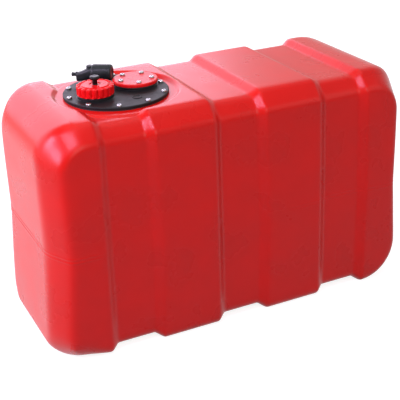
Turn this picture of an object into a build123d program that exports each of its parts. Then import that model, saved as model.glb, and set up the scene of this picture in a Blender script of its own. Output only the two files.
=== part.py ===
"""Outboard fuel tank with a bolted service flange, filler cap, blanked sender port and fuel outlet head.

Frame: millimetres, +X along the tank, +Y to the back, +Z up. The origin is at the middle of the
footprint, so the tank stands on Z = 0 and its service flange lies towards -X.
"""

import os
from math import sqrt

from build123d import *

# ---------------------------------------------------------------- driving dimensions, tank
tank_length = 657.0  # at the floor
tank_height = 390.0
tank_width = 293.0  # over the mould seam, the widest line
seam = 183.0  # height of the mould seam
end_lean = 8.0  # how far each end leans in from the floor to the top
seam_pinch = 5.0  # how far each end draws in at the seam beyond that
face_draft = 3.5  # how far the long faces lean in above and below the seam
wall = 5.0
shoulder_drop = 30.0  # bevel around the long faces, vertical leg at the top
shoulder_depth = 28.0  # the same bevel, leg across the tank
end_inset = 24.0  # the same bevel, leg along the tank at the ends
foot_bevel = 9.0  # small bevel under the long faces
corner_radius = 84.0  # upper corners of the end profile, at the outer edge of the bevel
face_corner_radius = 43.0  # upper corners of the long face
foot_radius = 28.0  # lower corners of the end profile
face_foot_radius = 38.0  # lower corners of the long face

rib_width = 100.0
strap_recess_width = 91.5  # between the rib shoulders
recess_depth = 8.8
flank_run = 12.9  # length of a recess's sloping side

# ---------------------------------------------------------------- driving dimensions, service flange
flange_rim = 6.5  # screw circle to the flange's edge
flange_land = 12.5  # hand hole to the screw circle
flange_thickness = 4.5
flange_gasket_thickness = 1.5
flange_turn = 18.0  # degrees from +X to the line through cap and sender plate
flange_shift = 40.0  # flange centre inboard of the middle of the strap recess it crosses
well_room = 12.0  # flange edge to the foot of the well's side
well_side_run = 6.0  # foot to upper edge of the well's side
pad_skirt = 3.0  # how much wider the well's floor stands where it crosses the recess
flange_screw_count = 10
flange_edge_radius = 1.5
gasket_inset = 0.5  # a gasket's rim inside the part it seals
spare_port_radius = 8.0
spare_rim_width = 1.6
spare_rim_height = 0.8

screw_radius = 2.4
screw_hole_radius = 2.75
screw_head_radius = 4.3
screw_head_height = 3.0
screw_head_rounding = 1.6
screw_socket_width = 3.0
screw_socket_depth = 1.6
insert_radius = 4.0
insert_bore_radius = 2.5
flange_insert_length = 11.0
insert_boss_radius = 7.0
plate_insert_length = 7.0
screw_tip_gap = 0.8
fixed_gap = 0.05  # between fixed round parts
moving_gap = 0.3  # between parts that move

# ---------------------------------------------------------------- driving dimensions, filler cap
cap_offset = 41.0  # flange centre to cap axis, the neck's side touches the hand hole
cap_radius = 30.0
cap_height = 15.5
cap_lift_off = 5.5  # cap skirt above the flange
cap_top_thickness = 3.0
cap_seal_thickness = 2.0
cap_flute_count = 18
cap_flute_radius = 2.2
cap_edge_radius = 2.0
flute_set_back = 0.5  # share of a flute's radius that its axis lies outside the grip
seal_overhang = 1.0  # cap seal inside the neck's bore
neck_outer_radius = 25.0
neck_bore_radius = 20.0
neck_collar_radius = 28.8
neck_collar_height = 4.4
neck_thread_depth = 0.9
neck_thread_count = 3
neck_thread_start = 1.0  # above the cap's lower edge
neck_tail_length = 8.0
vent_shank_radius = 4.0
vent_shank_length = 7.5
vent_head_radius = 8.0
vent_head_height = 5.5
vent_tip_radius = 2.6
vent_flute_count = 12
vent_flute_radius = 1.2
knob_edge_radius = 1.0
vent_ring_radius = 0.75

# ---------------------------------------------------------------- driving dimensions, sender port
plate_offset = 41.0
plate_radius = 37.0
plate_thickness = 5.4
plate_gasket_thickness = 1.2
plate_edge_radius = 1.2
turret_radius = 34.5
turret_height = 3.9
plate_screw_count = 5
plate_screw_circle = 54.0
plate_screw_turn = 45.0
sender_hole_radius = 20.0

# ---------------------------------------------------------------- driving dimensions, outlet head
head_room = 14.0  # stem axis to the hand hole's edge
head_turn = -36.0  # direction of the filter barrel
port_boss_radius = 12.0
port_boss_height = 2.0
head_seal_thickness = 1.5
head_foot_radius = 9.8
stem_radius = 7.7
stem_length = 20.0  # below the head's seal face
barrel_radius = 12.0
barrel_height = 19.6  # barrel axis above the flange face
barrel_back = 2.0
barrel_front = 22.5
chamber_radius = 9.5
plug_length = 3.6
plug_spigot_length = 5.0
plug_edge_radius = 2.4
plug_ring_radius = 0.8
plug_groove_width = 1.8
plug_groove_place = 1.2  # from the spigot's end
chamber_wall = 1.0  # behind the filter
cartridge_radius = 6.5
cartridge_core_radius = 4.0
body_reach = 31.0  # stem axis to the end of the body that carries the hose tail
body_end_width = 12.0
body_end_height = 14.6
body_end_rounding = 3.0
body_neck_width = 16.5  # square section where the body meets the barrel
body_neck_rounding = 5.0
body_neck_reach = 3.0  # how far the body runs into the barrel
body_end_low = 4.2  # underside of that end above the flange face
tail_height = 15.2  # hose tail axis above the flange face
tail_radius = 3.0
tail_bead_radius = 3.7
tail_length = 8.0
tail_bead_length = 2.5
tail_bore_radius = 1.7
bleed_offset = 8.0  # bleed screw behind the stem axis
bleed_radius = 5.7
bleed_boss_height = 28.6  # above the flange face
bleed_height = 2.4
bleed_stem_length = 2.5
nut_width = 19.0
nut_thickness = 6.0
tube_seat_drop = 1.0  # end of the pick-up tube, the ball's seat, below the flange

tube_radius = 4.4
tube_bore_radius = 3.0
ball_radius = 3.5
ball_lift = 3.0
ball_throat_radius = 2.6
ball_clearance = 0.05
strainer_radius = 9.0
strainer_length = 26.0
strainer_wall = 2.0
strainer_socket = 10.0
strainer_floor_gap = 3.0

# ---------------------------------------------------------------- derived places
UP = (Align.CENTER, Align.CENTER, Align.MIN)
DOWN = (Align.CENTER, Align.CENTER, Align.MAX)
half_length = tank_length / 2
half_width = tank_width / 2
shoulder_half_width = half_width - face_draft
top_half_width = shoulder_half_width - shoulder_depth
end_rib_x = 1.5 * strap_recess_width + rib_width  # inner edge of each end section
bevel_share = sqrt(2) - 1  # how far a 45 degree corner moves along a face for a unit inset
foot_half_width = shoulder_half_width - foot_bevel

pitch = rib_width + strap_recess_width
flange_at = Vector(flange_shift - pitch, 0, 0)
flange_top = tank_height
flange_low = flange_top - flange_thickness
well_floor = flange_low - flange_gasket_thickness
hand_hole_radius = cap_offset + neck_outer_radius
screw_ring_radius = hand_hole_radius + flange_land
flange_radius = screw_ring_radius + flange_rim
well_floor_radius = flange_radius + well_room
well_radius = well_floor_radius + well_side_run
head_offset = hand_hole_radius - head_room


def on_flange(radius, angle):
    """A point of the flange, from its centre, at an angle counted from the cap-to-plate line."""
    return flange_at + Vector(radius, 0, 0).rotate(Axis.Z, flange_turn + angle)


cap_at = on_flange(cap_offset, 180)
plate_at = on_flange(plate_offset, 0)
head_at = on_flange(head_offset, 90)
spare_at = on_flange(head_offset, -90)

cap_low = flange_top + cap_lift_off
cap_top = cap_low + cap_height
cap_ceiling = cap_top - cap_top_thickness
neck_top = cap_ceiling - cap_seal_thickness
neck_low = flange_low - neck_tail_length
turret_top = flange_top + turret_height
spare_top = flange_top + spare_rim_height
plate_low = turret_top + plate_gasket_thickness
plate_top = plate_low + plate_thickness
seal_low = flange_top + port_boss_height
head_low = seal_low + head_seal_thickness
barrel_z = flange_top + barrel_height
tail_z = flange_top + tail_height
stem_low = head_low - stem_length
seat_z = flange_low - tube_seat_drop
ball_z = seat_z + sqrt(ball_radius**2 - tube_bore_radius**2) + ball_clearance
chamber_top = ball_z + ball_lift + sqrt(ball_radius**2 - ball_throat_radius**2) + ball_clearance
floor_z = recess_depth + wall  # inside floor below the outlet head
strainer_low = floor_z + strainer_floor_gap
strainer_top = strainer_low + strainer_length
socket_low = strainer_top - strainer_socket

os.makedirs("parts", exist_ok=True)


# ---------------------------------------------------------------- shared shapes
def disc(at, radius, low, high, mode=Mode.ADD):
    """An upright cylinder on a point, from one height to another, in the part being built."""
    with Locations((at.X, at.Y, low)):
        Cylinder(radius, high - low, align=UP, mode=mode)


def cross_section(x, inset):
    """The tank cut across at x: flat top and bottom, bevelled edges, faces leaning in from the seam."""
    corner = bevel_share * inset
    right = [
        (top_half_width - corner, tank_height - inset),
        (shoulder_half_width - inset, tank_height - shoulder_drop - corner),
        (half_width - inset, seam),
        (shoulder_half_width - inset, foot_bevel + corner),
        (foot_half_width - corner, inset),
    ]
    left = [(-y, z) for y, z in reversed(right)]
    with BuildSketch(Plane.YZ.offset(x)) as section:
        Polygon(*right, *left, align=None)
    return section.sketch


def end_outline(y, inset):
    """The tank seen from the side, cut at y: rounded corners, the ends pinched in at the seam."""
    corner = bevel_share * inset
    flat = top_half_width - corner
    face = shoulder_half_width - inset
    foot = foot_half_width - corner
    bevel = max(0, abs(y) - flat) / (face - flat)  # 0 at the bevel's outer edge, 1 at the face
    foot_share = max(0, abs(y) - foot) / (face - foot)
    reach = half_length - inset - bevel * (end_inset - inset + corner)
    top = tank_height - inset - bevel * (shoulder_drop - inset + corner)
    low = inset + foot_share * (foot_bevel - inset + corner)
    upper_radius = corner_radius - inset + bevel * (face_corner_radius - corner_radius + inset - corner)
    lower_radius = foot_radius - inset + bevel * (face_foot_radius - foot_radius + inset - corner)
    waist = reach - seam_pinch - end_lean * seam / tank_height
    upper_reach = reach - end_lean
    points = [(waist, seam), (upper_reach, top), (-upper_reach, top)]
    points += [(-waist, seam), (-reach, low), (reach, low)]
    with BuildSketch(Plane.XZ.offset(-y)) as outline:
        with BuildLine():
            Polyline(*points, close=True)
        make_face()
        fillet(outline.vertices().group_by(Axis.Y)[-1], upper_radius)
        fillet(outline.vertices().group_by(Axis.Y)[0], lower_radius)
    return outline.sketch


def tank_form(inset):
    """The tank's outer shape, moved inwards by inset."""
    corner = bevel_share * inset
    run_out = face_draft + 1.0  # the bevel is carried on until it clears the seam line
    stations = [top_half_width - corner, foot_half_width - corner, shoulder_half_width - inset + run_out]
    stations = [-y for y in reversed(stations)] + stations
    middle = half_width - inset
    lean = face_draft / (tank_height - shoulder_drop - seam)
    upper = middle - lean * tank_height
    lower = middle - face_draft / (seam - foot_bevel) * tank_height
    wedge = [(upper, seam + tank_height), (middle, seam), (lower, seam - tank_height)]
    with BuildPart() as form:
        loft(sections=[end_outline(y, inset) for y in stations], ruled=True)
        with BuildSketch(Plane.YZ):
            Polygon(*wedge, *[(-y, z) for y, z in reversed(wedge)], align=None)
        extrude(amount=tank_length, both=True, mode=Mode.INTERSECT)
        with Locations((0, 0, tank_height / 2)):
            Box(2 * end_rib_x, 2 * tank_width, 2 * tank_height, mode=Mode.SUBTRACT)
        bands = []
        for middle_x in (-pitch, 0, pitch):
            for outward in (-1, 1):
                shoulder_x = middle_x + outward * strap_recess_width / 2
                floor_x = shoulder_x - outward * flank_run
                bands += [(shoulder_x, inset), (floor_x, inset + recess_depth)]
        loft(sections=[cross_section(x, depth) for x, depth in sorted(bands)], ruled=True)
    return form.part


# ---------------------------------------------------------------- tank
outer_form = tank_form(0)
inner_form = tank_form(wall)

with BuildPart() as tank_cavity:
    add(inner_form)
    disc(flange_at, well_radius + wall, well_floor - wall, tank_height, Mode.SUBTRACT)
    with Locations((flange_at.X, flange_at.Y, well_floor)):
        with PolarLocations(screw_ring_radius, flange_screw_count):
            Cylinder(insert_boss_radius, flange_insert_length + wall, align=DOWN, mode=Mode.SUBTRACT)

with BuildPart() as tank_shell:
    add(outer_form)
    with Locations((flange_at.X, flange_at.Y, well_floor)):
        Cone(well_radius + pad_skirt, well_radius, pad_skirt, align=DOWN)
    add(tank_cavity.part, mode=Mode.SUBTRACT)
    with Locations((flange_at.X, flange_at.Y, well_floor)):
        Cone(
            well_floor_radius,
            well_radius,
            tank_height - well_floor,
            align=UP,
            mode=Mode.SUBTRACT,
        )
        with PolarLocations(screw_ring_radius, flange_screw_count):
            Cylinder(insert_radius + fixed_gap, flange_insert_length, align=DOWN, mode=Mode.SUBTRACT)
    disc(flange_at, hand_hole_radius, well_floor - 2 * wall, tank_height, Mode.SUBTRACT)
tank_shell.part.label = "tank_shell"

with BuildPart() as flange_inserts:
    with Locations((flange_at.X, flange_at.Y, well_floor)):
        with PolarLocations(screw_ring_radius, flange_screw_count):
            Cylinder(insert_radius, flange_insert_length, align=DOWN)
            Cylinder(insert_bore_radius, flange_insert_length, align=DOWN, mode=Mode.SUBTRACT)
flange_inserts.part.label = "flange_inserts"

with BuildPart() as flange_gasket:
    disc(flange_at, flange_radius - gasket_inset, well_floor, flange_low)
    disc(flange_at, hand_hole_radius, well_floor, flange_low, Mode.SUBTRACT)
    with Locations((flange_at.X, flange_at.Y, well_floor)):
        with PolarLocations(screw_ring_radius, flange_screw_count):
            Cylinder(screw_hole_radius, flange_gasket_thickness, align=UP, mode=Mode.SUBTRACT)
flange_gasket.part.label = "flange_gasket"

# ---------------------------------------------------------------- service flange
with BuildPart() as access_flange:
    disc(flange_at, flange_radius, flange_low, flange_top)
    rim = access_flange.edges().group_by(Axis.Z)[-1]
    fillet(rim, flange_edge_radius)
    disc(cap_at, neck_collar_radius, flange_top, flange_top + neck_collar_height)
    disc(cap_at, neck_outer_radius - neck_thread_depth, neck_low, neck_top)
    thread_pitch = (neck_top - cap_low - neck_thread_start) / neck_thread_count
    for turn in range(neck_thread_count):
        ridge_low = cap_low + neck_thread_start + turn * thread_pitch
        disc(cap_at, neck_outer_radius, ridge_low, ridge_low + thread_pitch / 2)
    disc(plate_at, turret_radius, flange_top, turret_top)
    disc(head_at, port_boss_radius, flange_top, seal_low)
    disc(spare_at, spare_port_radius, flange_top, spare_top)
    disc(spare_at, spare_port_radius - spare_rim_width, flange_top, spare_top, Mode.SUBTRACT)
    disc(cap_at, neck_bore_radius, neck_low, neck_top, Mode.SUBTRACT)
    disc(plate_at, sender_hole_radius, flange_low, turret_top, Mode.SUBTRACT)
    disc(head_at, stem_radius + fixed_gap, flange_low, seal_low, Mode.SUBTRACT)
    with Locations((flange_at.X, flange_at.Y, flange_low)):
        with PolarLocations(screw_ring_radius, flange_screw_count):
            Cylinder(screw_hole_radius, flange_thickness, align=UP, mode=Mode.SUBTRACT)
    with Locations((plate_at.X, plate_at.Y, turret_top)):
        with PolarLocations(plate_screw_circle / 2, plate_screw_count, start_angle=plate_screw_turn):
            Cylinder(insert_radius + fixed_gap, plate_insert_length, align=DOWN, mode=Mode.SUBTRACT)
access_flange.part.label = "access_flange"


def pan_screw(length):
    """A pan head screw with a hexagon socket, its seat at the location in force."""
    Cylinder(screw_radius, length, align=DOWN)
    Cylinder(screw_head_radius, screw_head_height, align=UP)


with BuildPart() as flange_screws:
    flange_screw_length = flange_thickness + flange_gasket_thickness + flange_insert_length - screw_tip_gap
    with Locations((flange_at.X, flange_at.Y, flange_top)):
        with PolarLocations(screw_ring_radius, flange_screw_count):
            pan_screw(flange_screw_length)
    fillet(flange_screws.edges().group_by(Axis.Z)[-1], screw_head_rounding)
    with BuildSketch(Plane.XY.offset(flange_top + screw_head_height)):
        with Locations((flange_at.X, flange_at.Y)):
            with PolarLocations(screw_ring_radius, flange_screw_count):
                RegularPolygon(screw_socket_width / 2, 6, major_radius=False)
    extrude(amount=-screw_socket_depth, mode=Mode.SUBTRACT)
flange_screws.part.label = "flange_screws"

# ---------------------------------------------------------------- blanked sender port
with BuildPart() as plate_inserts:
    with Locations((plate_at.X, plate_at.Y, turret_top)):
        with PolarLocations(plate_screw_circle / 2, plate_screw_count, start_angle=plate_screw_turn):
            Cylinder(insert_radius, plate_insert_length, align=DOWN)
            Cylinder(insert_bore_radius, plate_insert_length, align=DOWN, mode=Mode.SUBTRACT)
plate_inserts.part.label = "plate_inserts"

with BuildPart() as plate_gasket:
    disc(plate_at, plate_radius - gasket_inset, turret_top, plate_low)
    disc(plate_at, sender_hole_radius, turret_top, plate_low, Mode.SUBTRACT)
    with Locations((plate_at.X, plate_at.Y, turret_top)):
        with PolarLocations(plate_screw_circle / 2, plate_screw_count, start_angle=plate_screw_turn):
            Cylinder(screw_hole_radius, plate_gasket_thickness, align=UP, mode=Mode.SUBTRACT)
plate_gasket.part.label = "plate_gasket"

with BuildPart() as blank_plate:
    disc(plate_at, plate_radius, plate_low, plate_top)
    fillet(blank_plate.edges().group_by(Axis.Z)[-1], plate_edge_radius)
    with Locations((plate_at.X, plate_at.Y, plate_low)):
        with PolarLocations(plate_screw_circle / 2, plate_screw_count, start_angle=plate_screw_turn):
            Cylinder(screw_hole_radius, plate_thickness, align=UP, mode=Mode.SUBTRACT)
blank_plate.part.label = "blank_plate"

with BuildPart() as plate_screws:
    plate_screw_length = plate_thickness + plate_gasket_thickness + plate_insert_length - screw_tip_gap
    with Locations((plate_at.X, plate_at.Y, plate_top)):
        with PolarLocations(plate_screw_circle / 2, plate_screw_count, start_angle=plate_screw_turn):
            pan_screw(plate_screw_length)
    fillet(plate_screws.edges().group_by(Axis.Z)[-1], screw_head_rounding)
    with BuildSketch(Plane.XY.offset(plate_top + screw_head_height)):
        with Locations((plate_at.X, plate_at.Y)):
            with PolarLocations(plate_screw_circle / 2, plate_screw_count, start_angle=plate_screw_turn):
                RegularPolygon(screw_socket_width / 2, 6, major_radius=False)
    extrude(amount=-screw_socket_depth, mode=Mode.SUBTRACT)
plate_screws.part.label = "plate_screws"

# ---------------------------------------------------------------- filler cap
vent_hole_radius = vent_tip_radius + moving_gap
vent_ring_height = 2 * vent_ring_radius

with BuildPart() as filler_cap:
    disc(cap_at, cap_radius, cap_low, cap_top)
    fillet(filler_cap.edges().group_by(Axis.Z)[-1], cap_edge_radius)
    with Locations((cap_at.X, cap_at.Y, cap_low)):
        with PolarLocations(cap_radius + flute_set_back * cap_flute_radius, cap_flute_count):
            Cylinder(cap_flute_radius, cap_height, align=UP, mode=Mode.SUBTRACT)
    disc(cap_at, neck_outer_radius + moving_gap, cap_low, cap_ceiling, Mode.SUBTRACT)
    disc(cap_at, vent_hole_radius, cap_ceiling, cap_top, Mode.SUBTRACT)
    disc(cap_at, vent_shank_radius + moving_gap, cap_top - vent_ring_height, cap_top, Mode.SUBTRACT)
filler_cap.part.label = "filler_cap"

with BuildPart() as cap_seal:
    disc(cap_at, neck_outer_radius - moving_gap, neck_top, cap_ceiling)
    disc(cap_at, neck_bore_radius - seal_overhang, neck_top, cap_ceiling, Mode.SUBTRACT)
cap_seal.part.label = "cap_seal"

vent_head_low = cap_top + vent_shank_length

with BuildPart() as vent_o_ring:
    with BuildSketch(Plane.XZ.offset(-cap_at.Y)):
        ring_x = cap_at.X + vent_tip_radius + fixed_gap + vent_ring_radius
        with Locations((ring_x, cap_top - vent_ring_radius)):
            Circle(vent_ring_radius)
    revolve(axis=Axis((cap_at.X, cap_at.Y, 0), (0, 0, 1)))
vent_o_ring.part.label = "vent_o_ring"

with BuildPart() as vent_screw:
    disc(cap_at, vent_tip_radius, cap_ceiling, cap_top)
    disc(cap_at, vent_shank_radius, cap_top, vent_head_low)
    disc(cap_at, vent_head_radius, vent_head_low, vent_head_low + vent_head_height)
    fillet(vent_screw.edges().group_by(Axis.Z)[-1], knob_edge_radius)
    with Locations((cap_at.X, cap_at.Y, vent_head_low)):
        with PolarLocations(vent_head_radius + flute_set_back * vent_flute_radius, vent_flute_count):
            Cylinder(vent_flute_radius, vent_head_height, align=UP, mode=Mode.SUBTRACT)
vent_screw.part.label = "vent_screw"

# ---------------------------------------------------------------- fuel outlet head
head_axis = Vector(1, 0, 0).rotate(Axis.Z, head_turn)


def head_plane(along, height):
    """A plane across the barrel's direction, at a distance from the stem and a height."""
    at = head_at + head_axis * along
    return Plane(origin=(at.X, at.Y, height), x_dir=(-head_axis.Y, head_axis.X, 0), z_dir=head_axis)


bleed_at = head_at - head_axis * bleed_offset
bleed_low = flange_top + bleed_boss_height
plug_seat = barrel_front - plug_spigot_length
chamber_start = chamber_wall - barrel_back

with BuildPart() as outlet_head:
    with BuildSketch(head_plane(-barrel_back, barrel_z)):
        Circle(barrel_radius)
    extrude(amount=barrel_back + barrel_front)
    with BuildSketch(head_plane(-body_reach, flange_top + body_end_low + body_end_height / 2)):
        RectangleRounded(body_end_width, body_end_height, body_end_rounding)
    with BuildSketch(head_plane(body_neck_reach - barrel_back, barrel_z)):
        RectangleRounded(body_neck_width, body_neck_width, body_neck_rounding)
    loft()
    with BuildSketch(head_plane(-body_reach - tail_length, tail_z)):
        Circle(tail_radius)
    extrude(amount=tail_length + body_end_rounding)
    with BuildSketch(head_plane(-body_reach - tail_length, tail_z)):
        Circle(tail_bead_radius)
    extrude(amount=tail_bead_length)
    disc(head_at, head_foot_radius, head_low, barrel_z)
    disc(head_at, stem_radius, stem_low, head_low)
    disc(bleed_at, bleed_radius, barrel_z, bleed_low)
    with BuildSketch(head_plane(chamber_start, barrel_z)):
        Circle(chamber_radius)
    extrude(amount=barrel_front - chamber_start, mode=Mode.SUBTRACT)
    with BuildSketch(head_plane(-bleed_offset, barrel_z)):
        Circle(tail_bore_radius)
    extrude(amount=bleed_offset + chamber_start, mode=Mode.SUBTRACT)
    with BuildSketch(head_plane(-body_reach - tail_length, tail_z)):
        Circle(tail_bore_radius)
    extrude(amount=body_reach + tail_length - bleed_offset, mode=Mode.SUBTRACT)
    disc(head_at, tube_radius + fixed_gap, stem_low, chamber_top, Mode.SUBTRACT)
    disc(head_at, ball_throat_radius, chamber_top, barrel_z - cartridge_radius, Mode.SUBTRACT)
    disc(bleed_at, tail_bore_radius, tail_z, bleed_low, Mode.SUBTRACT)
outlet_head.part.label = "outlet_head"

with BuildPart() as filter_plug:
    with BuildSketch(head_plane(barrel_front, barrel_z)):
        Circle(barrel_radius)
    extrude(amount=plug_length)
    fillet(filter_plug.faces().sort_by(Axis(head_at, head_axis))[-1].edges(), plug_edge_radius)
    with BuildSketch(head_plane(plug_seat, barrel_z)):
        Circle(chamber_radius - fixed_gap)
    extrude(amount=plug_spigot_length)
    with BuildSketch(head_plane(plug_seat + plug_groove_place, barrel_z)):
        Circle(chamber_radius)
        Circle(chamber_radius - 2 * plug_ring_radius, mode=Mode.SUBTRACT)
    extrude(amount=plug_groove_width, mode=Mode.SUBTRACT)
filter_plug.part.label = "filter_plug"

with BuildPart() as plug_o_ring:
    ring_centre = head_plane(plug_seat + plug_groove_place + plug_groove_width / 2, barrel_z)
    with BuildSketch(Plane(ring_centre.origin, x_dir=head_axis, z_dir=ring_centre.x_dir)):
        with Locations((0, chamber_radius - plug_ring_radius)):
            Circle(plug_ring_radius - fixed_gap)
    revolve(axis=Axis(ring_centre.origin, head_axis))
plug_o_ring.part.label = "plug_o_ring"

with BuildPart() as filter_cartridge:
    with BuildSketch(head_plane(chamber_start, barrel_z)):
        Circle(cartridge_radius)
        Circle(cartridge_core_radius, mode=Mode.SUBTRACT)
    extrude(amount=plug_seat - chamber_start)
filter_cartridge.part.label = "filter_cartridge"

with BuildPart() as bleed_screw:
    disc(bleed_at, bleed_radius, bleed_low, bleed_low + bleed_height)
    fillet(bleed_screw.edges().group_by(Axis.Z)[-1], knob_edge_radius)
    disc(bleed_at, tail_bore_radius - fixed_gap, bleed_low - bleed_stem_length, bleed_low)
bleed_screw.part.label = "bleed_screw"

with BuildPart() as head_seal:
    disc(head_at, head_foot_radius, seal_low, head_low)
    disc(head_at, stem_radius + fixed_gap, seal_low, head_low, Mode.SUBTRACT)
head_seal.part.label = "head_seal"

with BuildPart() as head_lock_nut:
    with BuildSketch(Plane.XY.offset(flange_low)):
        with Locations((head_at.X, head_at.Y)):
            RegularPolygon(nut_width / 2, 6, major_radius=False)
            Circle(stem_radius + fixed_gap, mode=Mode.SUBTRACT)
    extrude(amount=-nut_thickness)
head_lock_nut.part.label = "head_lock_nut"

with BuildPart() as check_ball:
    with Locations((head_at.X, head_at.Y, ball_z)):
        Sphere(ball_radius)
check_ball.part.label = "check_ball"

# ---------------------------------------------------------------- pick-up
with BuildPart() as pickup_tube:
    disc(head_at, tube_radius, socket_low, seat_z)
    disc(head_at, tube_bore_radius, socket_low, seat_z, Mode.SUBTRACT)
pickup_tube.part.label = "pickup_tube"

with BuildPart() as pickup_strainer:
    disc(head_at, strainer_radius, strainer_low, strainer_top)
    fillet(pickup_strainer.edges().group_by(Axis.Z)[-1], strainer_wall)
    disc(head_at, tube_radius + fixed_gap, socket_low, strainer_top, Mode.SUBTRACT)
    disc(head_at, strainer_radius - strainer_wall, strainer_low, socket_low, Mode.SUBTRACT)
pickup_strainer.part.label = "pickup_strainer"

# ---------------------------------------------------------------- output
pieces = [
    tank_shell,
    flange_inserts,
    flange_gasket,
    access_flange,
    flange_screws,
    plate_inserts,
    plate_gasket,
    blank_plate,
    plate_screws,
    filler_cap,
    cap_seal,
    vent_screw,
    vent_o_ring,
    outlet_head,
    filter_plug,
    plug_o_ring,
    filter_cartridge,
    bleed_screw,
    head_seal,
    head_lock_nut,
    check_ball,
    pickup_tube,
    pickup_strainer,
]
for piece in pieces:
    export_step(piece.part, f"parts/{piece.part.label}.step")
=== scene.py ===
"""Looks, light and camera for the outboard fuel tank, laid out as an add-on.

Shapes are worked out in millimetres in the frame's own axes: +X along the tank, +Y to the back, +Z up.
"""

import math

import bmesh
import bpy
import numpy as np
from mathutils import Matrix, Vector


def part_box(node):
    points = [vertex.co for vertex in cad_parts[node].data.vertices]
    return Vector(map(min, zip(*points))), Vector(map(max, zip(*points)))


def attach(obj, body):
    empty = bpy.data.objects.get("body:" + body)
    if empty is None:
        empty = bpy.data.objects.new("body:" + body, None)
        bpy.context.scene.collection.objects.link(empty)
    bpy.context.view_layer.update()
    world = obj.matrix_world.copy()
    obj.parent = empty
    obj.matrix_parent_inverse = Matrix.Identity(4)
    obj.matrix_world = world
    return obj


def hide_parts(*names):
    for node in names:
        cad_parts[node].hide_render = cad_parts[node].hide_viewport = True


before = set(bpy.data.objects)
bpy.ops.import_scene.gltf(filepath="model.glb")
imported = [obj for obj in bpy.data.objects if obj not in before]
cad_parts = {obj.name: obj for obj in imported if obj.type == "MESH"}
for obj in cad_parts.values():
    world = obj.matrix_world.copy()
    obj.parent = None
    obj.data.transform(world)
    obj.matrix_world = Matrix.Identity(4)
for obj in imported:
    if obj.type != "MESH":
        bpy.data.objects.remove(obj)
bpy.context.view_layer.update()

bl_info = {
    "name": "Outboard Fuel Tank",
    "version": (1, 0, 0),
    "blender": (4, 5, 0),
    "location": "View3D > Sidebar > Fuel Tank",
    "description": "Builds the tank, its service flange and fittings, and a plain studio around them",
    "category": "Add Mesh",
}

MM = 0.001
FULL_TURN = 2 * math.pi
MERGE_DISTANCE = 2e-6  # metres
SHORTEST_EDGE = 1e-7


# ---------------------------------------------------------------- places read from the frame
def box_mm(node):
    """Lowest and highest corner of a node, in millimetres."""
    low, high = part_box(node)
    return np.array(low) / MM, np.array(high) / MM


def middle_mm(node):
    """Centre of a node's box, in millimetres."""
    low, high = box_mm(node)
    return (low + high) / 2


def linear(hex_colour):
    """An sRGB hex colour as linear RGBA: ((c + 0.055) / 1.055) ** 2.4, or c / 12.92 for the darkest."""
    channels = [int(hex_colour[i:i + 2], 16) / 255 for i in (1, 3, 5)]
    return tuple(((c + 0.055) / 1.055) ** 2.4 if c > 0.04045 else c / 12.92 for c in channels) + (1.0,)


SHELL_LOW, SHELL_HIGH = box_mm("tank_shell")
FLANGE_AT = middle_mm("flange_gasket")
FLANGE_LOW = box_mm("flange_gasket")[1][2]
CAP_AT = middle_mm("filler_cap")
CAP_LOW, CAP_HIGH = box_mm("filler_cap")
PLATE_AT = middle_mm("blank_plate")
PLATE_LOW, PLATE_HIGH = box_mm("blank_plate")
VENT_AT = middle_mm("vent_screw")
VENT_LOW, VENT_HIGH = box_mm("vent_screw")
STEM_AT = middle_mm("head_seal")
BLEED_AT = middle_mm("bleed_screw")
BLEED_LOW, BLEED_HIGH = box_mm("bleed_screw")


# ---------------------------------------------------------------- what a user may change
class TankSizes(bpy.types.PropertyGroup):
    """Sizes of the moulded tank's skin."""

    seam_height: bpy.props.FloatProperty(
        name="Seam height", description="Height of the mould seam", default=0.183, unit="LENGTH")
    recess_depth: bpy.props.FloatProperty(
        name="Strap recess depth", description="How deep the three strap recesses are", default=0.0088,
        unit="LENGTH")
    wall: bpy.props.FloatProperty(
        name="Wall", description="Thickness of the moulded wall", default=0.005, unit="LENGTH")
    seam_ridge: bpy.props.FloatProperty(
        name="Seam ridge", description="Height of the fine double ridge along the seam", default=0.0007,
        unit="LENGTH")


class TankColours(bpy.types.PropertyGroup):
    """Colours of the mouldings."""

    tank: bpy.props.FloatVectorProperty(
        name="Tank", description="Rotomoulded polyethylene", subtype="COLOR", size=4, min=0, max=1,
        default=linear("#BC0602"))
    fitting: bpy.props.FloatVectorProperty(
        name="Cap and plate", description="Injection-moulded red fittings", subtype="COLOR", size=4, min=0,
        max=1, default=linear("#CF0E12"))
    flange: bpy.props.FloatVectorProperty(
        name="Flange", description="Glass-filled black nylon", subtype="COLOR", size=4, min=0, max=1,
        default=linear("#0E0E10"))
    head: bpy.props.FloatVectorProperty(
        name="Outlet head", description="Glass-filled dark grey nylon", subtype="COLOR", size=4, min=0,
        max=1, default=linear("#171C1D"))


class StageSettings(bpy.types.PropertyGroup):
    """Camera and lamps."""

    lens: bpy.props.FloatProperty(
        name="Lens", description="Focal length on a 36 mm sensor", default=89.54, unit="CAMERA")
    corner_power: bpy.props.FloatProperty(
        name="Corner lamp", description="Power of the small panel at the left", default=40.0, unit="POWER")
    side_power: bpy.props.FloatProperty(
        name="Side lamp", description="Power of the wide panel at the left", default=8.0, unit="POWER")
    rib_power: bpy.props.FloatProperty(
        name="Rib lamp", description="Power of the strip that glints on the ribs' flanks", default=32.0,
        unit="POWER")
    back_power: bpy.props.FloatProperty(
        name="Back lamp", description="Power of the panel behind", default=64.0, unit="POWER")
    overhead_power: bpy.props.FloatProperty(
        name="Overhead lamp", description="Power of the panel above", default=14.0, unit="POWER")
    front_power: bpy.props.FloatProperty(
        name="Front lamp", description="Power of the panel in front", default=24.0, unit="POWER")
    right_power: bpy.props.FloatProperty(
        name="Right lamp", description="Power of the panel in front at the right", default=9.0, unit="POWER")


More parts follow.
